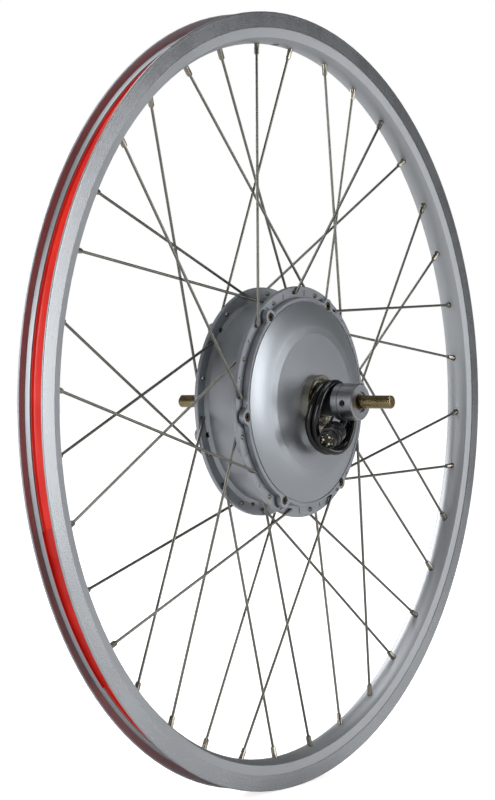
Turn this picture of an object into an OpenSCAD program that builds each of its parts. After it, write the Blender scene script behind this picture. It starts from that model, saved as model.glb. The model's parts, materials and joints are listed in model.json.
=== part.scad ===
// Spoked hub motor wheel: a direct drive motor laced into a 26 inch rim.
// The wheel turns about the Y axis and the cable leaves the axle on the -Y side.
// Inside on_axle() the local z axis points to the cable side, so z = -Y.

/* [Rim] */
// Outside diameter of the rim
rim_d = 571; // [500:1:700]
// Width of the rim across the braking tracks
rim_w = 21; // [19:0.5:28]
// Depth of the rim, from the lip to the spoke bed
rim_depth = 22.2; // [20:0.2:32]
// Height of the flat braking track
track_h = 11.5; // [8:0.5:14]
// Thickness of the side walls and lips
rim_wall = 1.6; // [1.2:0.1:2.2]
// Thickness of the spoke bed wall
bed_wall = 1.8; // [1.2:0.1:2.6]
// Depth of the bead seat below the lip
bead_depth = 6; // [5:0.5:8]
// Depth of the centre well below the lip
well_depth = 10.4; // [9:0.2:12]
// Width of the centre well at its floor
well_w = 10.6; // [9.6:0.2:12]
// Thickness of the well floor
well_floor = 1.4; // [1:0.1:2]
// Width of the rim tape
tape_w = 10.2; // [9:0.2:11.6]
// Thickness of the rim tape
tape_t = 0.6; // [0.4:0.1:1]
// Diameter of the valve hole
valve_d = 8.5; // [6.5:0.5:9]

/* [Spokes] */
// Spokes on each flange, half of them with the elbow outside
flange_spokes = 18; // [12:2:18]
// Turn of the lacing pattern about the axle
lacing_turn = 8.2; // [0:0.1:20]
// Flange holes a spoke sweeps past on its way to its nipple
spoke_cross = 2; // [1:1:3]
// Diameter of the spoke wire
spoke_d = 2; // [1.8:0.1:2.3]
// Diameter of the spoke head
spoke_head_d = 3.8; // [3.4:0.1:4.2]
// Thickness of the spoke head
spoke_head_t = 1.2; // [0.8:0.1:1.6]
// Distance from the elbow's wire to the flange face
elbow_gap = 0.9; // [0.7:0.1:1.4]
// Diameter of the nipple's shank
nipple_d = 4.1; // [3.8:0.1:4.4]
// Length of nipple showing inside the rim
nipple_show = 8; // [6:0.5:10]
// Diameter of the nipple's head
nipple_head_d = 6; // [5.6:0.1:6.6]
// Thickness of the nipple's head
nipple_head_t = 2.2; // [1.8:0.1:2.6]
// Sideways step of the spoke bed holes
bed_stagger = 0.6; // [0:0.1:1.2]

/* [Hub shell] */
// Radius of the two spoke flanges
flange_r = 85.3; // [82:0.1:98]
// Radius of the circle of spoke holes
hole_circle_r = 80.7; // [80:0.1:90]
// Diameter of a spoke hole in the flange
spoke_hole_d = 2.6; // [2.4:0.1:3]
// Radius of the drum between the flanges
drum_r = 75; // [74:0.1:76]
// Thickness of the drum wall
drum_wall = 2.8; // [2.4:0.1:3.4]
// Distance from the rim's mid plane to the near flange's outer face
near_flange_z = 16.8; // [15:0.1:22]
// Distance from the rim's mid plane to the far flange's outer face
far_flange_z = 19.4; // [18:0.1:28]
// Thickness of a spoke flange
flange_t = 3.2; // [2.8:0.1:4]

/* [Covers] */
// Radius of the covers
cover_r = 77; // [76.5:0.1:78]
// Height of a cover's edge above its seat
cover_edge_h = 4.3; // [3.8:0.1:5]
// Radius where the sloping band meets the centre
cover_shoulder_r = 56; // [45:1:62]
// Height of that shoulder above the seat
cover_shoulder_h = 10.3; // [9:0.1:14]
// Height of the cover's centre above the seat
cover_face_h = 11.7; // [10.6:0.1:16]
// Thickness of the cover wall
cover_wall = 3.2; // [2.6:0.1:4]
// Depth of the locating ring inside the drum
spigot_h = 4.4; // [3:0.1:5]
// Thickness of the gasket under each cover
gasket_t = 0.4; // [0.2:0.1:0.8]
// Number of screws in each cover
cover_screws = 6; // [3:3:6]
// Radius of the circle of cover screws
screw_circle_r = 77.2; // [76:0.1:78]
// Radius of the ear round each screw
lug_r = 5.3; // [4.6:0.1:5.6]
// Height of the screw seat in the ear
lug_h = 1.7; // [1.2:0.1:2.4]
// Diameter of the screw thread
screw_d = 4; // [3:0.5:5]
// Diameter of the screw head
screw_head_d = 5.8; // [5:0.1:7]
// Length of the screw below its head
screw_l = 5; // [3.6:0.1:5]

/* [Bearings] */
// Bore of both bearings
bearing_bore_d = 17; // [15:0.5:18]
// Outside diameter of both bearings
bearing_d = 35; // [34:0.5:36]
// Width of both bearings
bearing_w = 10; // [8:0.5:12]
// Diameter of a bearing ball
ball_d = 4.8; // [4:0.1:5]
// Balls in each bearing
ball_count = 10; // [8:1:11]
// Radius of the turned cap over the near bearing
cap_r = 19.8; // [19:0.1:22]
// Height of that cap
cap_h = 6.1; // [5:0.1:8]
// Outside radius of the shaft seals
seal_r = 12; // [11:0.1:13]
// Length of the freewheel thread boss
freewheel_l = 12; // [10:0.5:16]
// Diameter of the freewheel thread
freewheel_d = 34.8; // [34:0.1:36]

/* [Axle] */
// Distance between the two frame faces
locknut_w = 136; // [130:1:150]
// Overall length of the axle
axle_l = 188.6; // [180:0.2:210]
// Diameter of the axle ends
stub_d = 9.5; // [8:0.1:10.5]
// Diameter of the axle under the sleeve and the locknut
nut_seat_d = 12; // [11:0.1:13]
// Diameter of the axle under the stator
stator_seat_d = 20; // [19:0.5:24]
// Outside radius of the torque sleeve
sleeve_r = 13.4; // [12:0.1:15]
// Length of the torque sleeve
sleeve_l = 18.8; // [16:0.1:22]
// Diameter of the set screw hole across the sleeve
sleeve_hole_d = 4.8; // [4:0.1:6]
// Outside radius of the rubber collar on the axle
collar_r = 10.5; // [9.6:0.1:10.6]
// Width across the flats of the far locknut
locknut_af = 17; // [16:0.5:19]
// Thickness of the far locknut
locknut_t = 6; // [5:0.5:8]

/* [Motor] */
// Thickness of the steel back iron
iron_t = 2.7; // [2.2:0.1:3.4]
// Thickness of a magnet
magnet_t = 2.4; // [2:0.1:3]
// Number of magnets
magnet_count = 30; // [20:2:36]
// Length of the magnets along the axle
magnet_l = 25; // [20:1:25]
// Air gap between the magnets and the stator
air_gap = 0.7; // [0.5:0.1:1]
// Length of the stator stack along the axle
stack_l = 24; // [18:1:26]
// Number of stator teeth
tooth_count = 27; // [24:3:30]
// Width of a stator tooth
tooth_w = 6.6; // [5:0.1:6.8]
// Thickness of a coil beside its tooth
coil_t = 2.5; // [1.6:0.1:2.6]
// Length of the coil beyond the end of the stack
coil_end = 4.5; // [3:0.1:5]

/* [Cable] */
// Diameter of the motor cable
cable_d = 5.3; // [4.8:0.1:5.4]
// Angle about the axle where the cable leaves
exit_turn = 10; // [10]
// Radius of the plug's nose
nose_r = 6.5; // [6:0.1:6.8]
// Length of the plug's nose
nose_l = 6; // [5:0.5:8]
// Radius of the plug's barrel
barrel_r = 8.2; // [7.5:0.1:8.3]
// Length of the plug's barrel
barrel_l = 13; // [10:0.5:14]
// Number of thick contact pins in the plug
power_pins = 3; // [2:1:4]
// Number of thin contact pins in the plug
signal_pins = 6; // [4:1:8]

/* [Hidden] */
$fn = 96;
// Radial play of pieces that slide together, and of threads
fit = 0.05;
// Play between pieces that turn past each other
running = 0.3;

rim_r = rim_d / 2;
rim_half = rim_w / 2;
bed_r = rim_r - rim_depth;
track_r = rim_r - track_h;
// The side walls lean in from the track to the shoulder and the bed is an arc between them
shoulder_drop = 3.7;
shoulder_inset = 1.4;
track_step = 0.35;
shoulder_r = bed_r + shoulder_drop;
shoulder_half = rim_half - shoulder_inset;
bed_arc_r = (pow(shoulder_half, 2) + pow(shoulder_drop, 2)) / (2 * shoulder_drop);
well_r = rim_r - well_depth;
channel_half = rim_half - rim_wall;
chamber_top_r = well_r - well_floor;
access_hole_r = 4.2;
bed_hole_r = nipple_d / 2 + 0.3;
nipple_count = 2 * flange_spokes;
nipple_step = 360 / nipple_count;
hole_step = 360 / flange_spokes;
spoke_r = spoke_d / 2;
thread_in = 3.5;
// Play that a leaning nipple head needs above the bed's inner face
nipple_seat = bed_wall + 1;
valve_turn = lacing_turn + 8.5 * nipple_step;

near_gasket_z = near_flange_z + gasket_t;
far_gasket_z = far_flange_z + gasket_t;
near_flange_in = near_flange_z - flange_t;
far_flange_in = far_flange_z - flange_t;
drum_bore_r = drum_r - drum_wall;
flange_bevel = 0.6;
groove_w = 1.8;
groove_depth = 1;
ear_h = cover_edge_h - 0.4;
ear_blend_r = 3;
screw_head_h = 2;
tick_l = 4;
tick_w = 1.2;
tick_h = 0.5;
tick_r = 80.4;

bearing_r = bearing_d / 2;
bearing_bore_r = bearing_bore_d / 2;
ball_r = ball_d / 2;
ball_circle_r = (bearing_r + bearing_bore_r) / 2;
race_gap = 1.7;
race_play = 0.08;
cage_t = 1.2;
cage_w = 6.6;
housing_r = bearing_r + 3.6;
// The bearings sit this far above the cover seats
bearing_seat_h = 3.3;
bearing_lip = 1.4;
near_bearing_z = near_gasket_z + bearing_seat_h;
far_bearing_z = far_gasket_z + bearing_seat_h;
cap_z = near_gasket_z + cover_face_h;
cap_top_z = cap_z + cap_h;
seal_l = 2.4;
cap_seal_z = near_bearing_z + bearing_w + 0.2;
freewheel_face_h = bearing_seat_h + bearing_w + 1.2;
freewheel_end_z = far_gasket_z + freewheel_face_h + freewheel_l;

locknut_z = locknut_w / 2;
axle_end_z = axle_l / 2;
stub_r = stub_d / 2;
stub_round = 1.4;
nut_seat_r = nut_seat_d / 2;
stator_seat_r = stator_seat_d / 2;
sleeve_z = locknut_z - sleeve_l;
sleeve_dish_r = 7.6;
sleeve_dish = 1.5;
far_spacer_z = freewheel_end_z + 2 * running;
spacer_r = 9.4;
collar_z = cap_top_z + 2 * running;
slot_floor = 2.4;
slot_w = cable_d + 0.5;
exit_z = 40;
cable_r = cable_d / 2;

stack_z = (near_gasket_z - far_gasket_z) / 2;
iron_r = drum_bore_r - fit;
iron_bore_r = iron_r - iron_t;
iron_l = magnet_l + 2;
magnet_r = iron_bore_r - fit;
magnet_bore_r = magnet_r - magnet_t;
magnet_span = 360 / magnet_count * 0.86;
stator_r = magnet_bore_r - air_gap;
tooth_step = 360 / tooth_count;
shoe_t = 1.9;
slot_mouth = 2.6;
slot_top_r = stator_r - shoe_t;
slot_bottom_r = stator_r - 12.2;
yoke_bore_r = slot_bottom_r - 4;
carrier_r = yoke_bore_r - fit;
carrier_ring_r = carrier_r - 4;
carrier_hub_r = stator_seat_r + 5;
carrier_web = 6;
window_r = 9;
window_circle_r = (carrier_ring_r + carrier_hub_r) / 2;
key_w = 6;
key_l = 18;
clip_t = 1.2;
clip_r = stator_seat_r + 2.4;
board_t = 1.2;
board_span = 60;
board_turn = 60;
lead_r = 0.8;
lead_count = 3;
slot_start_z = stack_z + stack_l / 2 + clip_t;

// The plug points down to the left and leans a little to the cable side
plug_yaw = 12;
plug_pitch = 20;
plug_face = [-24, -54, -28];
relief_l = 8;
relief_end_r = cable_r + 1;
nose_wall = 1;
nose_recess = 3.4;
plug_l = nose_l + barrel_l + relief_l;
// Points from the plug back along its cable
plug_tail = [cos(plug_pitch) * cos(plug_yaw), cos(plug_pitch) * sin(plug_yaw), sin(plug_pitch)];
power_pin_r = 0.9;
power_circle_r = 3;
signal_pin_r = 0.4;
signal_circle_r = 4.4;
pin_turn = 20;

// Oval turns of the cable round the collar: width, height, middle, and how far out each point lies
turn_w = 45;
turn_h = 50;
turn_x = 2;
turn_z = -11.5;
turn_start = -20;
turn_step = 30;
turn_out = [
    40.5, 40.5, 40, 38, 36, 35.8, 38.6, 39.3, 39.5, 40.5,
    44, 46, 46.1, 46.1, 45.6, 43.6, 41.4, 41.6, 44.1, 45
];
// Last small turn, which hugs the collar
hug_r = 13.7;
hug_turns = [-22, 5, 32, 59, 86];
hug_out = [45.6, 46, 46.2, 46.3, 46.3];
// Route of the motor cable: straight out of the axle, twice round the collar, back to the plug
cable_points = concat(
    [
        [4, -40, 0.7], [8.5, -40, 1.5], [13, -40, 1.5],
        [17.5, -40, -0.5], [21.2, -40, -4.5], [23.5, -40.2, -11]
    ],
    [
        for (i = [0 : len(turn_out) - 1])
            let (turn = turn_start - i * turn_step)
            [turn_x + turn_w / 2 * cos(turn), -turn_out[i], turn_z + turn_h / 2 * sin(turn)]
    ],
    [
        for (i = [0 : len(hug_turns) - 1])
            [hug_r * sin(hug_turns[i]), -hug_out[i], hug_r * cos(hug_turns[i])]
    ],
    [
        [13.8, -46.5, -5.5], [12, -47, -11],
        plug_face + (plug_l + 7) * plug_tail
    ]
);
cable_sides = 10;
cable_steps = 2;

// ---- Helpers ----

// Turns the local z axis to the cable side
module on_axle() {
    rotate([90, 0, 0]) children();
}

// Repeats its children round the axle
module ring_of(count, start) {
    for (i = [0 : count - 1]) {
        rotate([0, 0, start + i * 360 / count]) children();
    }
}

// Tube between two radii, from one height up
module tube(outer_r, inner_r, z, h) {
    translate([0, 0, z]) {
        difference() {
            cylinder(h = h, r = outer_r);
            translate([0, 0, -1]) cylinder(h = h + 2, r = inner_r);
        }
    }
}

// Direction from one point to another
function unit(v) = v / norm(v);
// Point on a circle about the axle, at a height
function polar(r, turn, z) = [r * cos(turn), r * sin(turn), z];

// Places its children at a point, with their z axis along a direction
module aim(point, direction) {
    translate(point) {
        rotate([0, acos(direction.z), atan2(direction.y, direction.x)]) children();
    }
}

// ---- Axle and its fittings ----

module axle_profile() {
    seat_near = near_bearing_z;
    seat_far = -far_bearing_z;
    end_r = stub_r - stub_round;
    polygon([
        [0, -axle_end_z], [end_r, -axle_end_z], [stub_r, -axle_end_z + stub_round],
        [stub_r, -locknut_z + 0.5], [nut_seat_r, -locknut_z + 0.5],
        [nut_seat_r, -far_spacer_z], [bearing_bore_r, -far_spacer_z],
        [bearing_bore_r, seat_far], [stator_seat_r, seat_far],
        [stator_seat_r, seat_near], [bearing_bore_r, seat_near],
        [bearing_bore_r, sleeve_z], [nut_seat_r, sleeve_z],
        [nut_seat_r, locknut_z - sleeve_dish], [stub_r, locknut_z - sleeve_dish],
        [stub_r, axle_end_z - stub_round], [end_r, axle_end_z], [0, axle_end_z]
    ]);
    for (end = [-1, 1]) {
        translate([end_r, end * (axle_end_z - stub_round)]) circle(r = stub_round);
    }
}

module axle() {
    color("#8a7a4e") on_axle() {
        difference() {
            rotate_extrude() intersection() {
                axle_profile();
                translate([0, -axle_l]) square([stator_seat_r + 1, 2 * axle_l]);
            }
            rotate([0, 0, exit_turn]) {
                translate([slot_floor, -slot_w / 2, slot_start_z]) {
                    cube([stator_seat_r, slot_w, exit_z + slot_w / 2 - slot_start_z]);
                }
            }
            key_block(fit);
        }
    }
}

module key_block(play) {
    translate([-key_w / 2 - play, stator_seat_r - key_w / 2 - play, stack_z - key_l / 2 - play]) {
        cube([key_w + 2 * play, key_w + 2 * play, key_l + 2 * play]);
    }
}

module stator_key() {
    color("#77797c") on_axle() key_block(0);
}

module stator_carrier() {
    color("#a9adb0") on_axle() {
        difference() {
            union() {
                tube(carrier_hub_r, stator_seat_r + fit, stack_z - stack_l / 2, stack_l);
                tube(carrier_r, carrier_ring_r, stack_z - stack_l / 2, stack_l);
                tube(carrier_r - 1, carrier_hub_r - 1, stack_z - carrier_web / 2, carrier_web);
            }
            key_block(fit);
            ring_of(6, 30) {
                translate([window_circle_r, 0, stack_z - carrier_web]) {
                    cylinder(h = 2 * carrier_web, r = window_r);
                }
            }
        }
    }
}

module stator_clips() {
    color("#55585c") on_axle() {
        for (side = [-1, 1]) {
            translate([0, 0, stack_z + side * (stack_l / 2 + clip_t / 2 + fit) - clip_t / 2]) {
                rotate([0, 0, exit_turn + 20]) rotate_extrude(angle = 320) {
                    translate([stator_seat_r + fit, 0]) square([clip_r - stator_seat_r, clip_t]);
                }
            }
        }
    }
}

module stator_slot() {
    bottom_half = slot_bottom_r * tan(tooth_step / 2) - tooth_w / 2;
    top_half = slot_top_r * tan(tooth_step / 2) - tooth_w / 2;
    polygon([
        [slot_bottom_r, -bottom_half], [slot_top_r, -top_half],
        [slot_top_r, -slot_mouth / 2], [stator_r + 1, -slot_mouth / 2],
        [stator_r + 1, slot_mouth / 2], [slot_top_r, slot_mouth / 2],
        [slot_top_r, top_half], [slot_bottom_r, bottom_half]
    ]);
}

module stator_core() {
    color("#6b6e73") on_axle() {
        translate([0, 0, stack_z - stack_l / 2]) linear_extrude(stack_l) {
            difference() {
                circle(r = stator_r);
                circle(r = yoke_bore_r);
                ring_of(tooth_count, tooth_step / 2) stator_slot();
            }
        }
    }
}

module stator_coils() {
    inner_w = tooth_w + 0.5;
    inner_l = stack_l + 0.5;
    outer_w = inner_w + 2 * coil_t;
    outer_l = inner_l + 2 * coil_end;
    coil_r = slot_bottom_r + 0.4;
    coil_depth = slot_top_r - slot_bottom_r - 0.8;
    color("#b4652f") on_axle() ring_of(tooth_count, 0) {
        translate([coil_r, 0, stack_z]) {
            difference() {
                translate([0, -outer_w / 2, -outer_l / 2]) cube([coil_depth, outer_w, outer_l]);
                translate([-1, -inner_w / 2, -inner_l / 2]) {
                    cube([coil_depth + 2, inner_w, inner_l]);
                }
            }
        }
    }
}

board_z = stack_z + stack_l / 2 + coil_end + 0.5;
board_in_r = slot_bottom_r - 2;
board_out_r = slot_top_r - 0.5;

module hall_board() {
    color("#1f5a3a") on_axle() rotate([0, 0, board_turn]) translate([0, 0, board_z]) {
        rotate_extrude(angle = board_span) {
            translate([board_in_r, 0]) square([board_out_r - board_in_r, board_t]);
        }
    }
}

module hall_sensors() {
    sensor = [3, 4, 1.5];
    color("#202124") on_axle() {
        for (i = [1 : 3]) {
            rotate([0, 0, board_turn + i * board_span / 4]) {
                translate([board_out_r - sensor.x - 1, -sensor.y / 2, board_z + board_t]) {
                    cube(sensor);
                }
            }
        }
    }
}

module phase_leads() {
    lead_z = stack_z + stack_l / 2 + clip_t + 0.4 + lead_r;
    lead_start = bearing_bore_r - 1;
    lead_end = slot_bottom_r + 0.1;
    color("#c9a227") on_axle() rotate([0, 0, exit_turn]) {
        for (i = [0 : lead_count - 1]) {
            translate([lead_start, (i - 1) * 2 * (lead_r + 0.1), lead_z]) {
                rotate([0, 90, 0]) cylinder(h = lead_end - lead_start, r = lead_r);
            }
        }
    }
}

module inner_cable() {
    start_z = stack_z + stack_l / 2 + clip_t + 2 * lead_r + 0.7;
    color("#17181a") on_axle() rotate([0, 0, exit_turn]) {
        translate([slot_floor + cable_r + 0.1, 0, start_z]) {
            cylinder(h = exit_z - cable_r - 0.3 - start_z, r = cable_r);
        }
    }
}

module cable_collar() {
    color("#1b1c1e") on_axle() {
        difference() {
            tube(collar_r, bearing_bore_r + fit, collar_z, sleeve_z - collar_z);
            rotate([0, 0, exit_turn]) translate([0, 0, exit_z]) {
                rotate([0, 90, 0]) cylinder(h = collar_r + 5, r = slot_w / 2);
            }
        }
    }
}

module torque_sleeve() {
    bevel = 0.9;
    groove_z = sleeve_z + sleeve_l * 0.3;
    groove_w = 0.8;
    color("#a7aab0") on_axle() {
        difference() {
            rotate_extrude() polygon([
                [nut_seat_r + fit, sleeve_z], [sleeve_r - bevel, sleeve_z],
                [sleeve_r, sleeve_z + bevel], [sleeve_r, groove_z],
                [sleeve_r - 0.5, groove_z], [sleeve_r - 0.5, groove_z + groove_w],
                [sleeve_r, groove_z + groove_w], [sleeve_r, locknut_z - bevel],
                [sleeve_r - bevel, locknut_z], [sleeve_dish_r, locknut_z],
                [sleeve_dish_r, locknut_z - sleeve_dish],
                [nut_seat_r + fit, locknut_z - sleeve_dish]
            ]);
            sleeve_cross() cylinder(h = sleeve_r + 1, r = sleeve_hole_d / 2);
        }
    }
}

// Places its children along the sleeve's cross hole, from the axle out
module sleeve_cross() {
    hole_turn = 185;
    translate([0, 0, sleeve_z + sleeve_l * 0.57]) {
        rotate([0, 0, hole_turn]) rotate([0, 90, 0]) children();
    }
}

module sleeve_set_screw() {
    screw_start = nut_seat_r + fit;
    screw_length = 4.5;
    color("#2b2c2e") on_axle() sleeve_cross() {
        difference() {
            translate([0, 0, screw_start]) {
                cylinder(h = screw_length, r = sleeve_hole_d / 2 - fit);
            }
            translate([0, 0, screw_start + screw_length - 2]) {
                cylinder(h = 3, r = 1.3, $fn = 6);
            }
        }
    }
}

module far_spacer() {
    color("#8f9296") on_axle() {
        tube(spacer_r, nut_seat_r + fit, -locknut_z + locknut_t, locknut_z - locknut_t - far_spacer_z);
    }
}

module far_locknut() {
    color("#9b9ea2") on_axle() translate([0, 0, -locknut_z]) {
        difference() {
            cylinder(h = locknut_t, r = locknut_af / 2 / cos(30), $fn = 6);
            translate([0, 0, -1]) cylinder(h = locknut_t + 2, r = nut_seat_r + fit);
        }
    }
}

// ---- Bearings ----

// Places its children at a bearing, with the bearing's inner face at z = 0
module at_near_bearing() {
    on_axle() translate([0, 0, near_bearing_z]) children();
}

module at_far_bearing() {
    on_axle() mirror([0, 0, 1]) translate([0, 0, far_bearing_z]) children();
}

module ball_track(play) {
    rotate_extrude() translate([ball_circle_r, bearing_w / 2]) circle(r = ball_r + play);
}

module bearing_inner() {
    color("#b9bcc0") difference() {
        tube(ball_circle_r - race_gap, bearing_bore_r + fit, 0, bearing_w);
        ball_track(race_play);
    }
}

module bearing_outer() {
    color("#b9bcc0") difference() {
        tube(bearing_r, ball_circle_r + race_gap, 0, bearing_w);
        ball_track(race_play);
    }
}

module bearing_balls() {
    color("#d5d8db") ring_of(ball_count, 0) {
        translate([ball_circle_r, 0, bearing_w / 2]) sphere(r = ball_r);
    }
}

module bearing_cage() {
    color("#9a7b3a") difference() {
        tube(ball_circle_r + cage_t / 2, ball_circle_r - cage_t / 2, (bearing_w - cage_w) / 2, cage_w);
        ring_of(ball_count, 0) {
            translate([0, 0, bearing_w / 2]) rotate([0, 90, 0]) {
                cylinder(h = bearing_r, r = ball_r + race_play);
            }
        }
    }
}

module shaft_seal() {
    color("#26272a") tube(seal_r, bearing_bore_r + fit, 0, seal_l);
}

// ---- Hub shell and covers ----

module shell_profile() {
    polygon([
        [drum_bore_r, near_flange_z],
        [flange_r - flange_bevel, near_flange_z],
        [flange_r, near_flange_z - flange_bevel],
        [flange_r, near_flange_in + flange_bevel],
        [flange_r - flange_bevel, near_flange_in],
        [drum_r + 1, near_flange_in],
        [drum_r, near_flange_in - 1],
        [drum_r, -far_flange_in + 2.5],
        [drum_r + 2.5, -far_flange_in],
        [flange_r - flange_bevel, -far_flange_in],
        [flange_r, -far_flange_in - flange_bevel],
        [flange_r, -far_flange_z + flange_bevel],
        [flange_r - flange_bevel, -far_flange_z],
        [drum_bore_r, -far_flange_z]
    ]);
}

module hub_shell() {
    color("#6f7276") on_axle() {
        difference() {
            union() {
                rotate_extrude() shell_profile();
                for (i = [0 : flange_spokes - 1]) {
                    if (i * hole_step % (360 / cover_screws) != 0) {
                        rotate([0, 0, lacing_turn + i * hole_step]) {
                            translate([tick_r - tick_l / 2, -tick_w / 2, near_flange_z - 0.5]) {
                                cube([tick_l, tick_w, tick_h + 0.5]);
                            }
                        }
                    }
                }
            }
            ring_of(flange_spokes, lacing_turn + hole_step / 2) {
                translate([hole_circle_r, 0, near_flange_in - 1]) {
                    cylinder(h = flange_t + 2, r = spoke_hole_d / 2);
                }
            }
            ring_of(flange_spokes, lacing_turn) {
                translate([hole_circle_r, 0, -far_flange_z - 1]) {
                    cylinder(h = flange_t + 2, r = spoke_hole_d / 2);
                }
            }
            ring_of(cover_screws, lacing_turn) {
                translate([screw_circle_r, 0, near_flange_in - 1]) {
                    cylinder(h = flange_t + 2, r = screw_d / 2 + fit);
                }
                ear_groove(near_flange_z - groove_depth);
            }
            ring_of(cover_screws, lacing_turn + hole_step / 2) {
                translate([screw_circle_r, 0, -far_flange_z - 1]) {
                    cylinder(h = flange_t + 2, r = screw_d / 2 + fit);
                }
                ear_groove(-far_flange_z - 1);
            }
        }
    }
}

// Outline of an ear round a cover screw, with hollow corners where it meets the cover's edge
module ear_outline(grow) {
    blend_circle_r = cover_r + ear_blend_r;
    blend_turn = acos((pow(blend_circle_r, 2) + pow(screw_circle_r, 2)
        - pow(lug_r + ear_blend_r, 2)) / (2 * blend_circle_r * screw_circle_r));
    translate([screw_circle_r, 0]) circle(r = lug_r + grow);
    difference() {
        polygon([
            (cover_r - 2) * [cos(blend_turn), sin(blend_turn)],
            blend_circle_r * [cos(blend_turn), sin(blend_turn)],
            [screw_circle_r, 0],
            blend_circle_r * [cos(blend_turn), -sin(blend_turn)],
            (cover_r - 2) * [cos(blend_turn), -sin(blend_turn)]
        ]);
        for (side = [-1, 1]) {
            rotate([0, 0, side * blend_turn]) {
                translate([blend_circle_r, 0]) circle(r = ear_blend_r - grow);
            }
        }
    }
}

// Shallow groove in the flange face round an ear
module ear_groove(z) {
    translate([0, 0, z]) linear_extrude(groove_depth + 1) {
        difference() {
            ear_outline(groove_w);
            ear_outline(0.4);
            circle(r = cover_r + 0.4);
        }
    }
}

// Outer surface of a cover across its sloping band, a shallow arch
band_steps = 8;
band_crown = 0.7;
band_out_r = cover_r - 3.2;
band_out_h = cover_edge_h + 0.1;
face_inset = 6;
function band_point(t) = [
    cover_shoulder_r + (band_out_r - cover_shoulder_r) * t,
    cover_shoulder_h + (band_out_h - cover_shoulder_h) * t + 4 * band_crown * t * (1 - t)
];

// Half section of a cover from its bearing housing out, with its seat at height 0
module cover_section() {
    spigot_r = drum_bore_r - fit;
    spigot_in_r = spigot_r - 3.5;
    inner_r = cover_shoulder_r - face_inset;
    inner_h = cover_face_h - 0.7;
    edge_bevel = 0.6;
    groove_w = 0.7;
    polygon(concat(
        [[housing_r - 2, cover_face_h], [inner_r, inner_h]],
        [for (i = [0 : band_steps]) band_point(i / band_steps)],
        [
            [band_out_r + 0.2, cover_edge_h - 0.6],
            [band_out_r + 0.2 + groove_w, cover_edge_h - 0.6],
            [band_out_r + 0.4 + groove_w, cover_edge_h],
            [cover_r - edge_bevel, cover_edge_h],
            [cover_r, cover_edge_h - edge_bevel],
            [cover_r, 0], [spigot_r, 0], [spigot_r, -spigot_h],
            [spigot_in_r, -spigot_h], [spigot_in_r, 1],
            [cover_shoulder_r, cover_shoulder_h - cover_wall],
            [inner_r, inner_h - cover_wall],
            [housing_r - 2, cover_face_h - cover_wall]
        ]
    ));
}

// A cover's dome with its screw ears and the turned middle given as a child
module cover_blank(screw_turn) {
    difference() {
        union() {
            rotate_extrude() {
                cover_section();
                children();
            }
            ring_of(cover_screws, screw_turn) {
                linear_extrude(ear_h) ear_outline(0);
            }
        }
        ring_of(cover_screws, screw_turn) {
            translate([screw_circle_r, 0, lug_h]) {
                cylinder(h = cover_face_h, r = screw_head_d / 2 + 0.3);
            }
            translate([screw_circle_r, 0, -1]) {
                cylinder(h = lug_h + 2, r = screw_d / 2 + 0.2);
            }
        }
    }
}

module near_cover() {
    color("#8b8f94") on_axle() translate([0, 0, near_gasket_z]) {
        cover_blank(lacing_turn) polygon([
            [bearing_r - 2, bearing_seat_h - bearing_lip],
            [bearing_r - 2, bearing_seat_h], [bearing_r + fit, bearing_seat_h],
            [bearing_r + fit, cover_face_h], [housing_r, cover_face_h],
            [housing_r, bearing_seat_h - bearing_lip]
        ]);
    }
}

module far_cover() {
    thread_r = freewheel_d / 2;
    color("#8b8f94") on_axle() mirror([0, 0, 1]) translate([0, 0, far_gasket_z]) {
        cover_blank(lacing_turn + hole_step / 2) polygon([
            [bearing_r + fit, bearing_seat_h], [bearing_r + fit, bearing_seat_h + bearing_w + fit],
            [seal_r + fit, bearing_seat_h + bearing_w + fit],
            [seal_r + fit, freewheel_face_h + freewheel_l],
            [thread_r - 0.8, freewheel_face_h + freewheel_l],
            [thread_r, freewheel_face_h + freewheel_l - 0.8],
            [thread_r, freewheel_face_h], [housing_r, freewheel_face_h],
            [housing_r, bearing_seat_h]
        ]);
    }
}

module cover_gasket() {
    gasket_r = screw_circle_r - screw_d / 2 - 0.4;
    color("#3a3b3d") tube(gasket_r, drum_bore_r, 0, gasket_t);
}

module cover_screw() {
    head_r = screw_head_d / 2;
    head_h = screw_head_h;
    difference() {
        rotate_extrude() polygon([
            [0, -screw_l], [screw_d / 2 - 0.5, -screw_l], [screw_d / 2, -screw_l + 0.5],
            [screw_d / 2, 0], [head_r, 0], [head_r, head_h - 0.9],
            [head_r - 0.9, head_h], [0, head_h]
        ]);
        translate([0, 0, head_h - 1.3]) cylinder(h = 2, r = 1.6, $fn = 6);
    }
}

module screw_set(screw_turn) {
    color("#4a4336") ring_of(cover_screws, screw_turn) {
        translate([screw_circle_r, 0, lug_h]) cover_screw();
    }
}

module near_bearing_cap() {
    top = cap_h;
    dish = cap_h - 1.9;
    cup_h = near_bearing_z + bearing_w + 0.1 - cap_z;
    color("#b8b08e") on_axle() translate([0, 0, cap_z]) {
        rotate_extrude() polygon([
            [seal_r + fit, cup_h], [seal_r + fit, dish], [seal_r + 2.5, dish],
            [seal_r + 2.9, dish + 0.6], [cap_r - 2.4, top - 0.5], [cap_r - 2, top],
            [cap_r - 0.5, top], [cap_r, top - 0.5], [cap_r, 0],
            [bearing_r + fit, 0], [bearing_r + fit, cup_h]
        ]);
    }
}

module rotor_iron() {
    color("#5b5e62") on_axle() tube(iron_r, iron_bore_r, stack_z - iron_l / 2, iron_l);
}

module rotor_magnets() {
    color("#8e9196") on_axle() translate([0, 0, stack_z - magnet_l / 2]) {
        ring_of(magnet_count, 0) {
            rotate_extrude(angle = magnet_span) {
                translate([magnet_bore_r, 0]) square([magnet_t, magnet_l]);
            }
        }
    }
}

// ---- Rim ----

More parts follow.
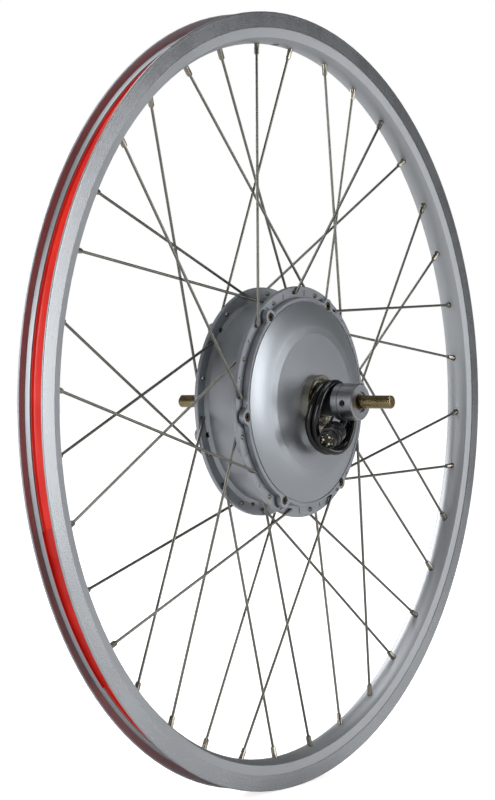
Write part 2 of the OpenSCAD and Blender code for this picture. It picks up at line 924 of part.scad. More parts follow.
// Sheet between the bed's arc and a limit above it, used for the wall and the hollow
module bed_arc(inset, half, top_r) {
    intersection() {
        translate([bed_r + bed_arc_r, 0]) circle(r = bed_arc_r - inset);
        translate([bed_r - 1, -half]) square([top_r - bed_r + 1, 2 * half]);
    }
}

module rim_section() {
    lip_r = rim_wall / 2;
    shelf_r = rim_r - bead_depth;
    chamber_half = channel_half - 1.2;
    bed_half = shoulder_half - rim_wall;
    difference() {
        union() {
            translate([track_r, -rim_half]) square([rim_r - lip_r - track_r, rim_w]);
            polygon([
                [track_r + 0.5, -rim_half + track_step], [track_r + 0.5, rim_half - track_step],
                [track_r - 0.6, rim_half - track_step],
                [shoulder_r, shoulder_half], [shoulder_r, -shoulder_half],
                [track_r - 0.6, -rim_half + track_step]
            ]);
            bed_arc(0, shoulder_half, shoulder_r + 0.01);
            for (side = [-1, 1]) {
                translate([rim_r - lip_r, side * (rim_half - lip_r)]) circle(r = lip_r);
            }
        }
        polygon([
            [rim_r - lip_r, channel_half], [shelf_r, channel_half],
            [shelf_r - 1.2, well_w / 2 + 1], [well_r, well_w / 2],
            [well_r, -well_w / 2], [shelf_r - 1.2, -well_w / 2 - 1],
            [shelf_r, -channel_half], [rim_r - lip_r, -channel_half]
        ]);
        polygon([
            [chamber_top_r, -chamber_half], [chamber_top_r, chamber_half],
            [shoulder_r, bed_half], [shoulder_r, -bed_half]
        ]);
        bed_arc(bed_wall, bed_half, shoulder_r + 0.01);
    }
}

module rim() {
    color("#b4b6b9") on_axle() {
        difference() {
            rotate_extrude() rim_section();
            for (side = [-1, 1]) {
                for (outer = [true, false]) {
                    each_spoke(side, outer) {
                        aim(spoke_nipple(side, $turn + $sweep), $along) {
                            translate([0, 0, -3]) cylinder(h = 8, r = bed_hole_r);
                        }
                        aim(polar(chamber_top_r - 1, $turn + $sweep, side * bed_stagger),
                            polar(1, $turn + $sweep, 0)) {
                            cylinder(h = well_floor + 2, r = access_hole_r);
                        }
                    }
                }
            }
            valve_hole();
        }
    }
}

module valve_hole() {
    aim(polar(bed_r - 5, valve_turn, 0), polar(1, valve_turn, 0)) {
        cylinder(h = rim_depth, r = valve_d / 2);
    }
}

module rim_tape() {
    color("#c21a12") on_axle() {
        difference() {
            tape_ring();
            valve_hole();
        }
    }
}

module tape_ring() {
    rotate_extrude() translate([well_r + fit, -tape_w / 2]) square([tape_t, tape_w]);
}

// ---- Spokes and nipples ----

// Height of the elbow's wire above the rim's mid plane, counted to its own side
function elbow_z(side, outer) =
    (side > 0 ? near_flange_z : far_flange_z)
    + (outer ? elbow_gap + spoke_r : -flange_t - elbow_gap - spoke_r);
// Height of the face that the spoke's head rests on
function head_z(side, outer) =
    (side > 0 ? near_flange_z : far_flange_z) - (outer ? flange_t : 0);
function spoke_elbow(side, outer, turn) = polar(hole_circle_r, turn, side * elbow_z(side, outer));
function spoke_nipple(side, turn) = polar(bed_r, turn, side * bed_stagger);

// Runs its children once for each spoke of one set, with $turn, $sweep and $along set
module each_spoke(side, outer) {
    start = lacing_turn + (side > 0 ? hole_step / 2 : 0) + (outer ? 0 : hole_step);
    $sweep = (outer ? -1 : 1) * spoke_cross * hole_step;
    for (k = [0 : flange_spokes / 2 - 1]) {
        $turn = start + 2 * k * hole_step;
        $along = unit(spoke_nipple(side, $turn + $sweep) - spoke_elbow(side, outer, $turn));
        children();
    }
}

module spokes(side, outer) {
    elbow = elbow_z(side, outer);
    seat = head_z(side, outer);
    out = outer ? -1 : 1;
    elbow_r = spoke_r + 0.06;
    color("#9c9c98") on_axle() each_spoke(side, outer) {
        corner = spoke_elbow(side, outer, $turn);
        run = norm(spoke_nipple(side, $turn + $sweep) - corner) + thread_in;
        aim(corner, $along) cylinder(h = run, r = spoke_r);
        translate(corner) sphere(r = elbow_r);
        aim(corner, [0, 0, side * out]) {
            cylinder(h = abs(seat - elbow) + 0.5, r = spoke_r);
            translate([0, 0, abs(seat - elbow) + fit]) {
                cylinder(h = spoke_head_t, r1 = spoke_head_d / 2, r2 = spoke_head_d / 2 - 0.5);
            }
        }
    }
}

module nipple() {
    shank_r = nipple_d / 2;
    head_r = nipple_head_d / 2;
    bore_r = spoke_r + fit;
    top = nipple_seat + nipple_head_t;
    rotate_extrude() polygon([
        [bore_r, -nipple_show], [shank_r - 0.5, -nipple_show], [shank_r, 1.2 - nipple_show],
        [shank_r, nipple_seat], [head_r, nipple_seat], [head_r, top - 0.6],
        [head_r - 0.6, top], [bore_r, top]
    ]);
}

module nipples(side) {
    color("#a39c8c") on_axle() {
        for (outer = [true, false]) {
            each_spoke(side, outer) aim(spoke_nipple(side, $turn + $sweep), $along) nipple();
        }
    }
}

// ---- Cable and plug ----

// Smooth curve through the route: a point at t between point i and the next
function route_point(points, i, t) =
    let (
        last = len(points) - 1,
        a = points[max(i - 1, 0)], b = points[i],
        c = points[min(i + 1, last)], d = points[min(i + 2, last)]
    )
    0.5 * (2 * b + (c - a) * t + (2 * a - 5 * b + 4 * c - d) * t * t
        + (3 * b - a - 3 * c + d) * t * t * t);
function route(points, steps) = concat(
    [for (i = [0 : len(points) - 2], k = [0 : steps - 1]) route_point(points, i, k / steps)],
    [points[len(points) - 1]]
);
function tangent(path, i) = unit(path[min(i + 1, len(path) - 1)] - path[max(i - 1, 0)]);
// Sideways direction of each ring, carried along the path so that the tube never twists
function carried(path, i, side) =
    let (along = tangent(path, i), flat = unit(side - (side * along) * along))
    i == len(path) - 1 ? [flat] : concat([flat], carried(path, i + 1, flat));

module sweep_tube(path, r, sides) {
    across = carried(path, 0, [0, 0, 1]);
    count = len(path);
    points = [
        for (i = [0 : count - 1], k = [0 : sides - 1])
            let (u = across[i], v = cross(tangent(path, i), u), a = 360 * k / sides)
            path[i] + r * (cos(a) * u + sin(a) * v)
    ];
    walls = [
        for (i = [0 : count - 2], k = [0 : sides - 1])
            let (m = (k + 1) % sides)
            [i * sides + k, (i + 1) * sides + k, (i + 1) * sides + m, i * sides + m]
    ];
    start_cap = [for (k = [0 : sides - 1]) k];
    end_cap = [for (k = [sides - 1 : -1 : 0]) (count - 1) * sides + k];
    polyhedron(points, concat(walls, [start_cap, end_cap]), convexity = 10);
}

module motor_cable() {
    color("#141517") {
        sweep_tube(route(concat(cable_points, [plug_point(plug_l + fit)]), cable_steps),
            cable_r, cable_sides);
    }
}

// Point on the plug's axis, at a distance behind its face
function plug_point(back) = plug_face + back * plug_tail;

// Places its children on the plug's axis, with z pointing out of its face
module at_plug(back) {
    aim(plug_point(back), -plug_tail) children();
}

module cable_relief() {
    color("#1a1b1d") at_plug(plug_l) {
        rotate_extrude() polygon([
            [0, 0], [relief_end_r, 0], [relief_end_r + 0.4, 2], [relief_end_r + 1, 2],
            [relief_end_r + 1, 3], [relief_end_r + 0.6, 3], [relief_end_r + 1, 5],
            [relief_end_r + 1.8, 5], [relief_end_r + 1.8, 6], [relief_end_r + 1.4, 6],
            [relief_end_r + 2, relief_l], [0, relief_l]
        ]);
    }
}

module plug_barrel() {
    bevel = 1.6;
    step = 0.5;
    color("#1e1f22") at_plug(nose_l + barrel_l) {
        rotate_extrude() polygon([
            [0, 0], [barrel_r - bevel - 0.6, 0], [barrel_r - 0.6, bevel],
            [barrel_r - 0.6, 4.5], [barrel_r - 0.6 - step, 4.5], [barrel_r - 0.6 - step, 5.3],
            [barrel_r, 5.3], [barrel_r, barrel_l - 0.8], [barrel_r - 0.8, barrel_l],
            [0, barrel_l]
        ]);
    }
}

module plug_nose() {
    color("#141517") at_plug(nose_l) {
        tube(nose_r, nose_r - nose_wall, 0, nose_l);
    }
}

module plug_insert() {
    color("#232427") at_plug(nose_l) {
        cylinder(h = nose_l - nose_recess, r = nose_r - nose_wall - fit);
    }
}

module plug_pins() {
    pin_l = nose_recess - 0.8;
    color("#c8a24a") at_plug(nose_recess) {
        ring_of(power_pins, pin_turn) {
            translate([power_circle_r, 0, 0]) cylinder(h = pin_l, r = power_pin_r);
        }
        ring_of(signal_pins, pin_turn + 30) {
            translate([signal_circle_r, 0, 0]) cylinder(h = pin_l, r = signal_pin_r);
        }
    }
}

// ---- Assembly ----

axle();
stator_key();
stator_carrier();
stator_clips();
stator_core();
stator_coils();
hall_board();
hall_sensors();
phase_leads();
inner_cable();
at_near_bearing() bearing_inner();  // near_bearing_inner
at_near_bearing() bearing_cage();  // near_bearing_cage
at_near_bearing() bearing_balls();  // near_bearing_balls
at_near_bearing() bearing_outer();  // near_bearing_outer
at_far_bearing() bearing_inner();  // far_bearing_inner
at_far_bearing() bearing_cage();  // far_bearing_cage
at_far_bearing() bearing_balls();  // far_bearing_balls
at_far_bearing() bearing_outer();  // far_bearing_outer
cable_collar();
torque_sleeve();
sleeve_set_screw();
far_spacer();
far_locknut();
motor_cable();
cable_relief();
plug_barrel();
plug_nose();
plug_insert();
plug_pins();
hub_shell();
rotor_iron();
rotor_magnets();
near_cover();
far_cover();
union() {  // near_gasket
    on_axle() translate([0, 0, near_flange_z]) cover_gasket();
}
union() {  // far_gasket
    on_axle() translate([0, 0, -far_gasket_z]) cover_gasket();
}
union() {  // near_cover_screws
    on_axle() translate([0, 0, near_gasket_z]) screw_set(lacing_turn);
}
union() {  // far_cover_screws
    on_axle() mirror([0, 0, 1]) translate([0, 0, far_gasket_z]) {
        screw_set(lacing_turn + hole_step / 2);
    }
}
near_bearing_cap();
union() {  // near_shaft_seal
    on_axle() translate([0, 0, cap_seal_z]) shaft_seal();
}
union() {  // far_shaft_seal
    on_axle() translate([0, 0, -freewheel_end_z]) shaft_seal();
}
rim();
rim_tape();
spokes(1, true);  // near_outer_spokes
spokes(1, false);  // near_inner_spokes
spokes(-1, true);  // far_outer_spokes
spokes(-1, false);  // far_inner_spokes
nipples(1);  // near_nipples
nipples(-1);  // far_nipples
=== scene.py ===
import json
import math

import bpy
from mathutils import Matrix, Vector


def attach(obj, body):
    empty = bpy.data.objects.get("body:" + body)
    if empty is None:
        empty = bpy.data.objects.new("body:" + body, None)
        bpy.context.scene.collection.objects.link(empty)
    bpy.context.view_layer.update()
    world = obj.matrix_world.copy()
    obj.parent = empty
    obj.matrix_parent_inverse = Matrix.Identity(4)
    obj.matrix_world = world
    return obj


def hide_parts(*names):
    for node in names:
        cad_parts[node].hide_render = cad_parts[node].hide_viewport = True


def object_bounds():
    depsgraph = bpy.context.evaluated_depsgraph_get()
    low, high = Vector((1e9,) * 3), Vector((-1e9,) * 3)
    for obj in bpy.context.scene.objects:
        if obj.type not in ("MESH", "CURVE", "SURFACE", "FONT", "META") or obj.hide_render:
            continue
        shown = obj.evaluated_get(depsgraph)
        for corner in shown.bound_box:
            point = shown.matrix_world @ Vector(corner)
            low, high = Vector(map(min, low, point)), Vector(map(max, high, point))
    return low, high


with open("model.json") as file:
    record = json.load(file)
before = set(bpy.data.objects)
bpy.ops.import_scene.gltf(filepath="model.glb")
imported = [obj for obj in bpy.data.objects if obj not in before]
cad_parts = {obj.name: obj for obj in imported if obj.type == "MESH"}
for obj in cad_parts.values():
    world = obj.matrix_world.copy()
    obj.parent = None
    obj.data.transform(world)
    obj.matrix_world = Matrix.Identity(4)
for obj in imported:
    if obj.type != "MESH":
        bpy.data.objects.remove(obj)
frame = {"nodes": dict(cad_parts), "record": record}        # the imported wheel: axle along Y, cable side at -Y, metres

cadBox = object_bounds()
nodes = frame["nodes"]
bpy.ops.object.select_all(action="DESELECT")
print("frame loaded:", len(nodes), "nodes")

cameraSet = {
    "turn": -55.165,      # degrees round the wheel, from straight along +Y
    "roll": 0.229,
    "distance": 1.4875,
    "aside": -0.02645,    # where the middle of the view lies, along the camera's right
    "above": 0.00108,
    "lens": 90.03,
    "sensor": 36.0,
    "nearClip": 0.05, "farClip": 60,
}


def makeCamera(s):
    turn = math.radians(s["turn"])
    back = Vector((math.sin(turn), -math.cos(turn), 0))
    right = Vector((math.cos(turn), math.sin(turn), 0))
    data = bpy.data.cameras.new("camera")
    data.lens = s["lens"]
    data.sensor_width = s["sensor"]
    data.clip_start = s["nearClip"]
    data.clip_end = s["farClip"]
    cam = bpy.data.objects.new("camera", data)
    bpy.context.scene.collection.objects.link(cam)
    cam.location = right * s["aside"] + Vector((0, 0, s["above"])) + back * s["distance"]
    look = (-back).to_track_quat("-Z", "Y").to_matrix().to_4x4()
    cam.rotation_euler = (look @ Matrix.Rotation(math.radians(s["roll"]), 4, "Z")).to_euler()
    bpy.context.scene.camera = cam


makeCamera(cameraSet)
print("camera placed")

newPieces = []          # pieces made here, with the finish that each one takes
slotOf = {part["node"]: part["material_slot"] for part in frame["record"]["subparts"]}


# Selects the points or faces whose place passes the test, or the edges whose two ends both pass
def pick(kind, test):
    obj = bpy.context.object
    bpy.ops.object.mode_set(mode="OBJECT")
    mesh = obj.data
    for group in (mesh.vertices, mesh.edges, mesh.polygons):
        for item in group:
            item.select = False
    for item in {"point": mesh.vertices, "edge": mesh.edges, "face": mesh.polygons}[kind]:
        if kind == "point":
            item.select = test(item.co)
        elif kind == "edge":
            item.select = all(test(mesh.vertices[v].co) for v in item.vertices)
        else:
            item.select = test(item.center)
    bpy.ops.object.mode_set(mode="EDIT")
    bpy.ops.mesh.select_mode(type={"point": "VERT", "edge": "EDGE", "face": "FACE"}[kind])


# The piece is the active one when it is softened or thickened
def soften(obj, width, angle=35, segments=2):
    bevel = obj.modifiers.new("soften", "BEVEL")
    bevel.width = width
    bevel.segments = segments
    bevel.limit_method = "ANGLE"
    bevel.angle_limit = math.radians(angle)
    bpy.ops.object.modifier_apply(modifier="soften")


def thicken(obj, thickness):
    wall = obj.modifiers.new("wall", "SOLIDIFY")
    wall.thickness = thickness
    wall.offset = -1          # the thickness lies behind the surface
    bpy.ops.object.modifier_apply(modifier="wall")


# Smooths a finished piece, hides the part it stands for, hangs it on what it rides on and notes its finish
def dressPiece(obj, node, body, slot, finish=None, angle=40):
    bpy.ops.object.mode_set(mode="OBJECT")
    bpy.ops.object.select_all(action="DESELECT")
    obj.select_set(True)
    bpy.context.view_layer.objects.active = obj
    bpy.ops.object.shade_smooth_by_angle(angle=math.radians(angle))
    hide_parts(node)
    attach(obj, body)
    obj.data.update()
    newPieces.append((obj, finish or slot))
    bpy.ops.object.select_all(action="DESELECT")


# A point at a radius and a turn in degrees, a distance out towards the cable side
def polar(r, turn, out):
    turn = math.radians(turn)
    return Vector((r * math.cos(turn), -out, r * math.sin(turn)))


# The motor cable takes the same route as the part's own cable, in millimetres
cableSet = {
    "diameter": 5.3,
    "ovalWidth": 45, "ovalHeight": 50, "ovalMiddle": (2, -11.5),
    "ovalStart": -20, "ovalStep": 30,
    "ovalOut": [40.5, 40.5, 40, 38, 36, 35.8, 38.6, 39.3, 39.5, 40.5,
                44, 46, 46.1, 46.1, 45.6, 43.6, 41.4, 41.6, 44.1, 45],
    "hugRadius": 13.7, "hugTurns": [-22, 5, 32, 59, 86],
    "hugOut": [45.6, 46, 46.2, 46.3, 46.3],
    "lead": [(4, -40, 0.7), (8.5, -40, 1.5), (13, -40, 1.5),
             (17.5, -40, -0.5), (21.2, -40, -4.5), (23.5, -40.2, -11)],
    "last": [(13.8, -46.5, -5.5), (12, -47, -11)],
    "steps": 8, "roundness": 4,
}
plugSet = {
    "face": (-24, -54, -28), "yaw": 12, "pitch": 20,
    "noseLength": 6, "barrelRadius": 8.2, "barrelLength": 13, "reliefLength": 8,
    "runIn": 7, "gap": 0.05,      # the straight last stretch, and the play where it meets the relief
}
plugYaw = math.radians(plugSet["yaw"])
plugPitch = math.radians(plugSet["pitch"])
plugTail = Vector((math.cos(plugPitch) * math.cos(plugYaw),
                   math.cos(plugPitch) * math.sin(plugYaw),
                   math.sin(plugPitch)))
plugLength = plugSet["noseLength"] + plugSet["barrelLength"] + plugSet["reliefLength"]


def cablePoints(s):
    points = [Vector(p) for p in s["lead"]]
    for i, out in enumerate(s["ovalOut"]):
        turn = math.radians(s["ovalStart"] - i * s["ovalStep"])
        points.append(Vector((s["ovalMiddle"][0] + s["ovalWidth"] / 2 * math.cos(turn), -out,
                              s["ovalMiddle"][1] + s["ovalHeight"] / 2 * math.sin(turn))))
    for turn, out in zip(s["hugTurns"], s["hugOut"]):
        turn = math.radians(turn)
        points.append(Vector((s["hugRadius"] * math.sin(turn), -out, s["hugRadius"] * math.cos(turn))))
    points += [Vector(p) for p in s["last"]]
    face = Vector(plugSet["face"])
    points.append(face + plugTail * (plugLength + plugSet["runIn"]))
    points.append(face + plugTail * (plugLength + plugSet["gap"]))
    return [p / 1000 for p in points]


# A Catmull-Rom curve through the points
def smoothRoute(points, steps):
    route = []
    last = len(points) - 1
    for i in range(last):
        a, b = points[max(i - 1, 0)], points[i]
        c, d = points[i + 1], points[min(i + 2, last)]
        for k in range(steps):
            t = k / steps
            route.append(0.5 * (2 * b + (c - a) * t + (2 * a - 5 * b + 4 * c - d) * t * t
                                + (3 * b - a - 3 * c + d) * t ** 3))
    route.append(points[last])
    return route


def makeCable(s):
    route = smoothRoute(cablePoints(s), s["steps"])
    curve = bpy.data.curves.new("cable", "CURVE")
    curve.dimensions = "3D"
    line = curve.splines.new("POLY")
    line.points.add(len(route) - 1)
    for point, place in zip(line.points, route):
        point.co = (place.x, place.y, place.z, 1)
        point.radius = s["diameter"] / 2000      # the bevel is a unit circle, so the box stays tight
    curve.bevel_depth = 1
    curve.bevel_resolution = s["roundness"]
    curve.use_fill_caps = True
    cable = bpy.data.objects.new("cable", curve)
    bpy.context.scene.collection.objects.link(cable)
    length = sum((b - a).length for a, b in zip(route, route[1:]))
    return cable, route, length


# Plug barrel with finger grooves, in millimetres from its face end backwards
barrelSet = {
    "sides": 36, "collar": 4.5, "collarStep": 0.6, "neck": 0.8, "neckDepth": 0.55,
    "groove": 6.4, "grooveEnd": 11.6, "grooveDepth": 0.5, "grooveEdge": 0.12, "grooveEvery": 3,
    "soften": 0.22, "softenAngle": 32,
}


def makeBarrel(s):
    radius, length = plugSet["barrelRadius"], plugSet["barrelLength"]
    bpy.ops.mesh.primitive_cylinder_add(vertices=s["sides"], radius=radius, depth=length,
                                        location=(0, 0, length / 2))
    bpy.ops.object.transform_apply(location=True)
    barrel = bpy.context.object
    barrel.name = "plugBarrel"
    for level in (s["collar"], s["collar"] + s["neck"], s["groove"], s["grooveEnd"]):
        bpy.ops.object.mode_set(mode="EDIT")
        bpy.ops.mesh.select_all(action="SELECT")
        bpy.ops.mesh.bisect(plane_co=(0, 0, level), plane_no=(0, 0, 1))
    pick("point", lambda c: c.z < s["collar"] + 0.01)
    front = (radius - s["collarStep"]) / radius
    bpy.ops.transform.resize(value=(front, front, 1), center_override=(0, 0, 0))
    pick("face", lambda c: s["collar"] < c.z < s["collar"] + s["neck"])
    bpy.ops.mesh.extrude_region_shrink_fatten(TRANSFORM_OT_shrink_fatten={"value": -s["neckDepth"]})
    step = 2 * math.pi / s["sides"]
    pick("face", lambda c: s["groove"] < c.z < s["grooveEnd"] and c.xy.length > radius * 0.9
         and int((math.atan2(c.y, c.x) + 2 * math.pi) / step) % s["grooveEvery"] == 0)
    bpy.ops.mesh.inset(thickness=s["grooveEdge"], depth=0, use_individual=True)
    bpy.ops.mesh.extrude_region_shrink_fatten(TRANSFORM_OT_shrink_fatten={"value": -s["grooveDepth"]})
    bpy.ops.object.mode_set(mode="OBJECT")
    soften(barrel, s["soften"], s["softenAngle"])
    place = Vector(plugSet["face"]) + plugTail * plugSet["noseLength"]
    turn = plugTail.to_track_quat("Z", "Y").to_matrix().to_4x4()
    barrel.data.transform(Matrix.Scale(0.001, 4) @ Matrix.Translation(place) @ turn)
    dressPiece(barrel, "plug_barrel", "axle_assembly", slotOf["plug_barrel"])
    return barrel


plugBarrel = makeBarrel(barrelSet)
cable, cableRoute, cableLength = makeCable(cableSet)
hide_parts("motor_cable")
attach(cable, "axle_assembly")
print("cable laid, %.1f mm" % (cableLength * 1000))

# The surroundings look white, and light the wheel less than they look
lightSet = {
    "skyForLight": 0.16, "skySeen": 1.0,
    "sunPower": 1.2, "sunSpread": 40,
    "lights": [
        # name, place, looks at, width, height, power, colour
        ("frontCard", (0.45, -2.3, 0.5), (0, 0, 0), 0.8, 1.7, 24, (1, 1, 1)),
        ("rimCard", (1.5, -1.9, 0.0), (-0.1, 0, 0), 0.4, 1.2, 8, (1, 1, 1)),
        ("tapeCard", (-2.2, 0.1, 0.3), (0, 0, 0), 1.4, 1.6, 34, (1, 1, 1)),
        ("backCard", (0.4, 2.2, 0.9), (0, 0, 0), 1.6, 1.2, 40, (1, 1, 1)),
    ],
}
floorSet = {"radius": 40, "sides": 96, "gap": 0.0002, "colour": (0.8, 0.8, 0.8, 1),
            "rough": 0.9, "specular": 0.1, "glow": 0.75}


def makeLights(s):
    world = bpy.data.worlds.new("studio")
    bpy.context.scene.world = world
    world.use_nodes = True
    tree = world.node_tree
    tree.nodes.clear()
    out = tree.nodes.new("ShaderNodeOutputWorld")
    mix = tree.nodes.new("ShaderNodeMixShader")
    path = tree.nodes.new("ShaderNodeLightPath")
    soft = tree.nodes.new("ShaderNodeBackground")
    seen = tree.nodes.new("ShaderNodeBackground")
    soft.inputs["Strength"].default_value = s["skyForLight"]
    soft.inputs["Color"].default_value = (1, 1, 1, 1)
    seen.inputs["Strength"].default_value = s["skySeen"]
    seen.inputs["Color"].default_value = (1, 1, 1, 1)
    tree.links.new(path.outputs["Is Camera Ray"], mix.inputs["Fac"])
    tree.links.new(soft.outputs[0], mix.inputs[1])
    tree.links.new(seen.outputs[0], mix.inputs[2])
    tree.links.new(mix.outputs[0], out.inputs["Surface"])
    sun = bpy.data.lights.new("sun", "SUN")
    sun.energy = s["sunPower"]
    sun.angle = math.radians(s["sunSpread"])
    sunLamp = bpy.data.objects.new("sun", sun)
    bpy.context.scene.collection.objects.link(sunLamp)
    for name, place, target, wide, high, power, colour in s["lights"]:
        data = bpy.data.lights.new(name, "AREA")
        data.shape = "RECTANGLE"
        data.size, data.size_y = wide, high
        data.energy = power
        data.color = colour
        lamp = bpy.data.objects.new(name, data)
        bpy.context.scene.collection.objects.link(lamp)
        lamp.location = place
        lamp.rotation_euler = (Vector(target) - Vector(place)).to_track_quat("-Z", "Y").to_euler()


def makeFloor(s):
    bpy.ops.mesh.primitive_circle_add(vertices=s["sides"], radius=s["radius"], fill_type="NGON",
                                      location=(0, 0, cadBox[0].z - s["gap"]))
    floor = bpy.context.object
    floor.name = "floor"
    mat = bpy.data.materials.new("floorPaper")
    mat.use_nodes = True
    shader = mat.node_tree.nodes["Principled BSDF"]
    shader.inputs["Base Color"].default_value = s["colour"]
    shader.inputs["Roughness"].default_value = s["rough"]
    shader.inputs["Specular IOR Level"].default_value = s["specular"]
    shader.inputs["Emission Color"].default_value = (1, 1, 1, 1)
    path = mat.node_tree.nodes.new("ShaderNodeLightPath")
    glow = mathNode(mat.node_tree, "MULTIPLY", path.outputs["Is Camera Ray"], s["glow"])
    mat.node_tree.links.new(glow, shader.inputs["Emission Strength"])
    floor.data.materials.append(mat)
    bpy.ops.object.select_all(action="DESELECT")


def blankMaterial(name):
    mat = bpy.data.materials.new(name)
    mat.use_nodes = True
    tree = mat.node_tree
    shader = tree.nodes["Principled BSDF"]
    coords = tree.nodes.new("ShaderNodeTexCoord")
    return mat, tree, shader, coords.outputs["Object"]


def mathNode(tree, kind, a, b=None, c=None):
    node = tree.nodes.new("ShaderNodeMath")
    node.operation = kind
    for i, value in enumerate((a, b, c)):
        if value is None:
            continue
        if isinstance(value, (int, float)):
            node.inputs[i].default_value = value
        else:
            tree.links.new(value, node.inputs[i])
    return node.outputs[0]


def noiseNode(tree, vector, scale, detail=3.0, rough=0.5, dims="3D"):
    node = tree.nodes.new("ShaderNodeTexNoise")
    node.noise_dimensions = dims
    node.inputs["Scale"].default_value = scale
    node.inputs["Detail"].default_value = detail
    node.inputs["Roughness"].default_value = rough
    if dims == "1D":
        tree.links.new(vector, node.inputs["W"])
    else:
        tree.links.new(vector, node.inputs["Vector"])
    return node.outputs["Fac"]


def rampNode(tree, value, stops):
    node = tree.nodes.new("ShaderNodeValToRGB")
    ramp = node.color_ramp
    while len(ramp.elements) < len(stops):
        ramp.elements.new(0.5)
    for element, (place, colour) in zip(ramp.elements, stops):
        element.position = place
        element.color = colour if len(colour) == 4 else (*colour, 1)
    tree.links.new(value, node.inputs["Fac"])
    return node.outputs["Color"]


def rangeNode(tree, value, low, high, toLow, toHigh):
    node = tree.nodes.new("ShaderNodeMapRange")
    for name, number in (("From Min", low), ("From Max", high), ("To Min", toLow), ("To Max", toHigh)):
        node.inputs[name].default_value = number
    tree.links.new(value, node.inputs["Value"])
    return node.outputs["Result"]


def bumpNode(tree, height, strength, distance, under=None):
    node = tree.nodes.new("ShaderNodeBump")
    node.inputs["Strength"].default_value = strength
    node.inputs["Distance"].default_value = distance
    tree.links.new(height, node.inputs["Height"])
    if under is not None:
        tree.links.new(under, node.inputs["Normal"])
    return node.outputs["Normal"]


# One between the two ends and nothing outside them
def bandNode(tree, value, low, high, soft):
    rise = rangeNode(tree, value, low - soft, low + soft, 0, 1)
    fall = rangeNode(tree, value, high - soft, high + soft, 1, 0)
    return mathNode(tree, "MULTIPLY", rise, fall)


# How far a place is from the wheel's axis, and how far along it
def axleDistance(tree, coords):
    split = tree.nodes.new("ShaderNodeSeparateXYZ")
    tree.links.new(coords, split.inputs[0])
    xx = mathNode(tree, "MULTIPLY", split.outputs["X"], split.outputs["X"])
    zz = mathNode(tree, "MULTIPLY", split.outputs["Z"], split.outputs["Z"])
    return mathNode(tree, "SQRT", mathNode(tree, "ADD", xx, zz)), split.outputs["Y"]


makeLights(lightSet)
makeFloor(floorSet)
bpy.context.scene.view_settings.view_transform = "Standard"
print("light and floor set")

grainDepth = 0.0001       # metres, the same for every fine grain and turned line


# Metals and metal paints: two cloudy tones, fine grain, and turned lines or threads where wanted
def metalMaterial(name, s):
    mat, tree, shader, coords = blankMaterial(name)
    shader.inputs["Metallic"].default_value = s.get("metallic", 1.0)
    cloud = noiseNode(tree, coords, s.get("cloudScale", 40), 4)
    colour = rampNode(tree, cloud, [(0.3, s["dark"]), (0.7, s["light"])])
    grain = noiseNode(tree, coords, s.get("grainScale", 2500), 2)
    smear = noiseNode(tree, coords, 18, 5, 0.65)
    spread = s.get("roughSpread", 0.05)
    rough = mathNode(tree, "ADD", rangeNode(tree, grain, 0.3, 0.7, s["rough"] - spread, s["rough"] + spread),
                     rangeNode(tree, smear, 0.35, 0.65, -0.03, 0.03))
    normal = None if s.get("noGrain") else bumpNode(tree, grain, s.get("grainBump", 0.15), grainDepth)
    away, along = axleDistance(tree, coords)
    if "track" in s:
        startRadius, faceAt = s["track"]
        onTrack = mathNode(tree, "MULTIPLY", mathNode(tree, "GREATER_THAN", away, startRadius),
                           mathNode(tree, "GREATER_THAN", mathNode(tree, "ABSOLUTE", along), faceAt))
        rough = mathNode(tree, "ADD", rough, mathNode(tree, "MULTIPLY", onTrack, s["trackRough"]))
    if "channel" in s:
        floorRadius, halfWidth = s["channel"]
        inside = mathNode(tree, "MULTIPLY", mathNode(tree, "GREATER_THAN", away, floorRadius),
                          mathNode(tree, "LESS_THAN", mathNode(tree, "ABSOLUTE", along), halfWidth))
        rough = mathNode(tree, "ADD", rough, mathNode(tree, "MULTIPLY", inside, s["channelRough"]))
    if "turnedLines" in s:
        lines = noiseNode(tree, mathNode(tree, "ADD", away, along), s["turnedLines"], 2, 0.6, "1D")
        if "turnedBand" in s:
            lines = mathNode(tree, "MULTIPLY", lines, bandNode(tree, away, *s["turnedBand"]))
        if "linesRough" in s:
            rough = mathNode(tree, "ADD", rough, mathNode(tree, "MULTIPLY", lines, s["linesRough"]))
        else:
            normal = bumpNode(tree, lines, s["linesBump"], grainDepth, normal)
    if "threadPitch" in s:
        wave = mathNode(tree, "SINE", mathNode(tree, "MULTIPLY", along, 2 * math.pi / s["threadPitch"]))
        reach = mathNode(tree, "ABSOLUTE", along)
        cut = mathNode(tree, "MULTIPLY", wave, bandNode(tree, reach, *s["threadBand"]))
        normal = bumpNode(tree, cut, s["threadBump"], s["threadDepth"], normal)
    tree.links.new(colour, shader.inputs["Base Color"])
    tree.links.new(rough, shader.inputs["Roughness"])
    if normal is not None:
        tree.links.new(normal, shader.inputs["Normal"])
    if "coat" in s:
        shader.inputs["Coat Weight"].default_value = s["coat"]
        shader.inputs["Coat Roughness"].default_value = s["coatRough"]
    return mat


